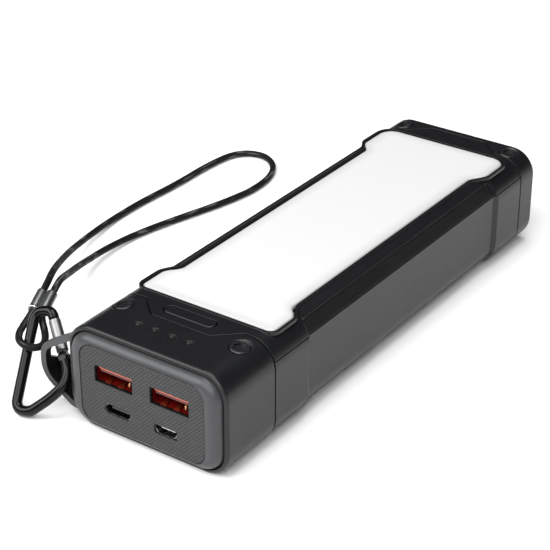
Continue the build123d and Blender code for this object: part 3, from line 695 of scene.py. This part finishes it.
# How far in from the frame the painted shade on the diffuser reaches.
DIFFUSER_SHADE_FADE = 4.0 * MM


def smooth_step(value):
    value = np.clip(value, 0, 1)
    return value * value * (3 - 2 * value)


def lamp_half(y, wide):
    """Half the window's width at y."""
    front_out, front_in, rear_in, rear_out = LAMP_STEPS_Y
    leave = 1 - smooth_step((y - front_out) / (front_in - front_out))
    enter = smooth_step((y - rear_in) / (rear_out - rear_in))
    return LAMP_NARROW + (wide - LAMP_NARROW) * np.maximum(leave, enter)


def lamp_distance(x, y):
    """Signed distance to the diffuser's outline, near enough within a few millimetres of it."""
    low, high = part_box("light_diffuser")
    half = lamp_half(y, high.x)
    radius = np.where(y < 0, LAMP_FRONT_ROUND, LAMP_REAR_ROUND)
    from_side = np.abs(x) - half + radius
    from_end = np.maximum(low.y - y, y - high.y) + radius
    outside = np.hypot(np.maximum(from_side, 0), np.maximum(from_end, 0))
    return outside + np.minimum(np.maximum(from_side, from_end), 0) - radius


def make_diffuser(material):
    low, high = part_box("light_diffuser")
    x, y, depth, cells = plate((low.x, low.y), (high.x, high.y), DIFFUSER_STEP, lamp_distance)
    inward = np.clip(-depth, 0, None)
    drop = DIFFUSER_EDGE * (1 - smooth_step(inward / (2 * DIFFUSER_EDGE)))
    front = np.stack([x, y, high.z - drop], axis=1)
    back = np.stack([x, y, np.full_like(x, low.z)], axis=1)
    diffuser = piece_from("opal_diffuser", *thick_plate(front, back, cells.tolist()), material, smooth=True)
    # Painted shade: how far each point lies inside the outline, for the material's ramp.
    store(diffuser, "inner", np.concatenate([inward, inward]) / DIFFUSER_SHADE_FADE)
    fit(diffuser, "housing", "diffuser_white", "light_diffuser")


# ---------------------------------------------------------------- socket details
# Across and up, distances are from the middle of a USB-A opening. Depths are from its insulator's front.
NOSE_HALF = 5.7 * MM
NOSE_Z = (0.1 * MM, 1.62 * MM)
NOSE_DEPTH = 1.0 * MM
NOSE_CUT = 0.35 * MM
# Radius of the bar that carries the painted highlight along the tongue's top edge.
LIP_R = 0.26 * MM
LEAF_HALF = 0.95 * MM
LEAF_TIP_HALF = 0.19 * MM
LEAF_LONG = 2.8 * MM
LEAF_THICK = 0.18 * MM
LEAF_RISE = (0.05 * MM, 1.1 * MM)
LEAVES_AT = (-2.7 * MM, 1.7 * MM)
LEAF_DEPTH = 0.6 * MM
LEAF_CLEAR = 0.12 * MM
SPRING_FOOT = Vector((4.4, 1.3, -1.7)) * MM
SPRING_HEAD = Vector((4.7, 1.1, 0.1)) * MM
SPRING_R = 0.36 * MM
DOME_ANGLES = (20, 50, 90)


def rounded_bar(start, end, radius, segments=20):
    """A round bar with domed ends."""
    start, end = Vector(start), Vector(end)
    length = (end - start).length
    angles = [math.radians(angle) for angle in DOME_ANGLES]
    dome = [(radius * (1 - math.cos(angle)), radius * math.sin(angle)) for angle in angles]
    profile = dome + [(length - along, around) for along, around in reversed(dome)]
    return lathe(profile, start, end - start, segments)


def spring_leaf(middle_x, floor_z, mouth_y):
    """A pointed sheet-metal leaf that rises from the socket's floor towards the back."""
    foot, tip = (LEAF_HALF, 0.0), (LEAF_TIP_HALF, LEAF_LONG)
    outline = [(-foot[0], foot[1]), foot, tip, (-tip[0], tip[1])]
    verts = []
    for lift in (LEAF_THICK, 0.0):
        for x, along in outline:
            height = LEAF_RISE[0] + (LEAF_RISE[1] - LEAF_RISE[0]) * along / LEAF_LONG
            verts.append((middle_x + x, mouth_y + along, floor_z + height + lift))
    faces = [(0, 1, 2, 3), (7, 6, 5, 4), (0, 4, 5, 1), (1, 5, 6, 2), (2, 6, 7, 3), (3, 7, 4, 0)]
    return verts, faces


def tongue_nose(middle_x, centre_z, front_y, rear_y):
    """The front of the tongue: a flat bar whose front corners and lower edge are cut back."""
    low_z, high_z = centre_z + NOSE_Z[0], centre_z + NOSE_Z[1]
    outline = [
        (-NOSE_HALF, rear_y), (-NOSE_HALF, front_y + NOSE_CUT), (-NOSE_HALF + NOSE_CUT, front_y),
        (NOSE_HALF - NOSE_CUT, front_y), (NOSE_HALF, front_y + NOSE_CUT), (NOSE_HALF, rear_y),
    ]
    verts = [(middle_x + x, y, high_z) for x, y in outline]
    verts += [(middle_x + x, y, low_z + NOSE_CUT) for x, y in outline]
    verts += [(middle_x + x, max(y, front_y + NOSE_CUT), low_z) for x, y in outline]
    count = len(outline)
    faces = [tuple(range(count)), tuple(reversed(range(2 * count, 3 * count)))]
    for row in (0, count):
        for i in range(count):
            j = (i + 1) % count
            faces.append((row + j, row + i, row + count + i, row + count + j))
    return verts, faces


def make_usb_a_details(name, finishes):
    """The tongue's nose with a painted highlight along its top edge, two sprung leaves and an end contact."""
    low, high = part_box(f"usb_a_insulator_{name}")
    middle = (low.x + high.x) / 2
    centre_z = USB_A_AT[1]
    nose_y = low.y + NOSE_DEPTH
    rear_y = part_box(f"usb_a_contacts_{name}")[0].y
    nose_mesh = tongue_nose(middle, centre_z, nose_y, rear_y)
    nose = piece_from(f"usb_a_nose_{name}", *nose_mesh, finishes["nose"])
    fit(nose, "housing", "socket_orange")
    # Painted highlight: a pale salmon bar along the nose's top edge.
    lip_z = centre_z + NOSE_Z[1] - LIP_R / 2
    start = (middle - NOSE_HALF, nose_y, lip_z)
    end = (middle + NOSE_HALF, nose_y, lip_z)
    highlight_lip = piece_from(f"usb_a_highlight_lip_{name}", *rounded_bar(start, end, LIP_R), finishes["highlight_lip"], smooth=True)
    fit(highlight_lip, "housing", "socket_orange")
    floor_z = centre_z - USB_A[1] / 2 + LEAF_CLEAR
    leaves = [spring_leaf(middle + offset, floor_z, low.y + LEAF_DEPTH) for offset in LEAVES_AT]
    leaf = piece_from(f"usb_a_leaves_{name}", *joined(leaves), finishes["leaf"])
    fit(leaf, "housing", "contact_gold")
    mouth = Vector((middle, low.y, centre_z))
    spring_mesh = rounded_bar(mouth + SPRING_FOOT, mouth + SPRING_HEAD, SPRING_R)
    spring = piece_from(f"usb_a_side_spring_{name}", *spring_mesh, finishes["gold"], smooth=True)
    fit(spring, "housing", "contact_gold")


# ---------------------------------------------------------------- indicator marks
MARK_RADII = (1.35 * MM, 0.85 * MM)
MARK_THICK = 0.07 * MM
MARK_STEPS = 14
MARK_ARC = (25, 155)
LENS_PROFILE = [(0.0, 0.46 * MM), (0.08 * MM, 0.42 * MM), (0.13 * MM, 0.28 * MM), (0.15 * MM, 0.1 * MM)]
LENS_SUNK = 0.03 * MM
LENS_SIDES = 20
INDICATOR_X = -0.85
INDICATOR_PITCH = 5.8
INDICATOR_AT = [(INDICATOR_X + (i - 1.5) * INDICATOR_PITCH) * MM for i in range(4)]
INDICATOR_Y = -76.4 * MM


def arc_bar(middle, radius, thick, first, last, segments=8):
    """A thin round bar bent along part of a circle that lies flat."""
    verts = []
    for i in range(MARK_STEPS + 1):
        angle = math.radians(first + (last - first) * i / MARK_STEPS)
        outward = Vector((math.cos(angle), math.sin(angle), 0))
        for j in range(segments):
            turn = 2 * math.pi * j / segments
            lift = Vector((0, 0, thick * math.sin(turn)))
            verts.append(middle + outward * (radius + thick * math.cos(turn)) + lift)
    faces = []
    for i in range(MARK_STEPS):
        for j in range(segments):
            k = (j + 1) % segments
            row, above = i * segments, (i + 1) * segments
            faces.append((row + j, above + j, above + k, row + k))
    faces.append(tuple(range(segments)))
    faces.append(tuple(MARK_STEPS * segments + j for j in range(segments - 1, -1, -1)))
    return verts, faces


def make_indicator_marks(material):
    """Two small arcs beside each indicator light, and a domed lens in its middle."""
    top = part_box("front_cap")[1].z
    parts = []
    for x in INDICATOR_AT:
        middle = Vector((x, INDICATOR_Y, top))
        for radius in MARK_RADII:
            parts.append(arc_bar(middle, radius, MARK_THICK, *MARK_ARC))
        parts.append(lathe(LENS_PROFILE, middle - Vector((0, 0, LENS_SUNK)), (0, 0, 1), LENS_SIDES))
    marks = piece_from("indicator_marks", *joined(parts), material, smooth=True)
    fit(marks, "housing", "light_pipe")


# ---------------------------------------------------------------- build
def make_finishes():
    """A finish for each material slot of the record, and for three nodes that differ from theirs."""
    return {
        "shell_black": plastic("shell_black", BLACK, 0.36, 0.05, SHELL_EDGE, SHELL_GLOSS).material,
        "bezel_grey": plastic("bezel_grey", GREY, 0.36, 0.03, BEZEL_EDGE, SHELL_GLOSS).material,
        "inlay_weave": inlay_material(),
        "key_black": plastic("key_black", BLACK, 0.34, 0.03, SHELL_EDGE, SHELL_GLOSS).material,
        "light_pipe": plastic("light_pipe", (0.010, 0.010, 0.011), 0.25, 0.01).material,
        "screw_black": plastic("screw_black", scaled(BLACK, 1.3), 0.32, 0.02, SCREW_EDGE).material,
        "socket_orange": insulator_material(),
        "tongue_black": plastic("tongue_black", (0.008, 0.008, 0.008), 0.3, 0.02).material,
        "micro_usb_tongue": plastic("micro_tongue_pale", (0.55, 0.55, 0.54), 0.35, 0.02).material,
        "board_green": plastic("board_green", (0.02, 0.12, 0.05), 0.4, 0.03).material,
        "chip_black": plastic("chip_black", (0.02, 0.02, 0.02), 0.5, 0.05).material,
        "ferrite_grey": plastic("ferrite_grey", (0.12, 0.12, 0.13), 0.6, 0.08).material,
        "led_board_white": plastic("led_board_white", (0.8, 0.8, 0.78), 0.45, 0.03).material,
        "led_yellow": plastic("led_yellow", (0.85, 0.66, 0.15), 0.4, 0.04).material,
        "reflector_white": plastic("reflector_white", (0.85, 0.85, 0.85), 0.35, 0.02).material,
        "cell_blue": plastic("cell_blue", (0.05, 0.15, 0.42), 0.35, 0.02).material,
        "cell_paper": plastic("cell_paper", (0.62, 0.58, 0.42), 0.75, 0.08).material,
        "lead_red": plastic("lead_red", (0.5, 0.02, 0.02), 0.45, 0.02).material,
        "lead_black": plastic("lead_black", (0.02, 0.02, 0.02), 0.45, 0.02).material,
        "switch_white": plastic("switch_white", (0.8, 0.8, 0.78), 0.4, 0.02).material,
        "carabiner_black": wire_material(),
        "diffuser_white": diffuser_material(),
        "cord_braid": braid_material(),
        "lanyard_lug": lug_material(),
        "socket_steel": metal("socket_steel", (0.16, 0.16, 0.165), 0.26).material,
        "contact_gold": metal("contact_gold", (0.9, 0.62, 0.2), 0.25).material,
        "nickel": metal("nickel", (0.6, 0.58, 0.54), 0.35).material,
        "gate_steel": metal("gate_steel", (0.25, 0.25, 0.255), 0.40).material,
        "spring_steel": metal("spring_steel", (0.6, 0.6, 0.6), 0.3).material,
        "gate_pin": metal("gate_pin_dark", (0.07, 0.07, 0.072), 0.42).material,
        "ferrule_metal": ferrule_material(),
    }


def paint_nodes(finishes):
    """Every CAD node gets the finish that bears its own name, or else its material slot's."""
    for row in frame["record"]["subparts"]:
        materials = NODES[row["node"]].data.materials
        materials.clear()
        materials.append(finishes.get(row["node"]) or finishes[row["material_slot"]])


def make_extra_finishes():
    """Finishes of the small details inside the USB-A sockets, and of the indicator marks."""
    return {
        # A pale salmon colour that is a painted highlight on the tongue's top edge.
        "highlight_lip": plastic("insulator_highlight_lip", (0.66, 0.14, 0.075), 0.3, 0.02).material,
        "nose": plastic("tongue_red", INSULATOR_RED, 0.25, 0.02).material,
        "leaf": metal("leaf_metal", (0.40, 0.065, 0.03), 0.3).material,
        "gold": metal("spring_gold", (0.56, 0.30, 0.15), 0.38).material,
        "mark": plastic("mark_grey", (0.034, 0.032, 0.030), 0.6, 0.02, 0.0, 0.2).material,
    }


make_camera()
finishes = make_finishes()
extras = make_extra_finishes()
make_cords(finishes["cord_braid"])
make_stage()
paint_nodes(finishes)
make_ferrule(finishes["ferrule_metal"])
make_inlay(finishes["inlay_weave"])
make_diffuser(finishes["diffuser_white"])
for socket_name in ("left", "right"):
    make_usb_a_details(socket_name, extras)
make_indicator_marks(extras["mark"])
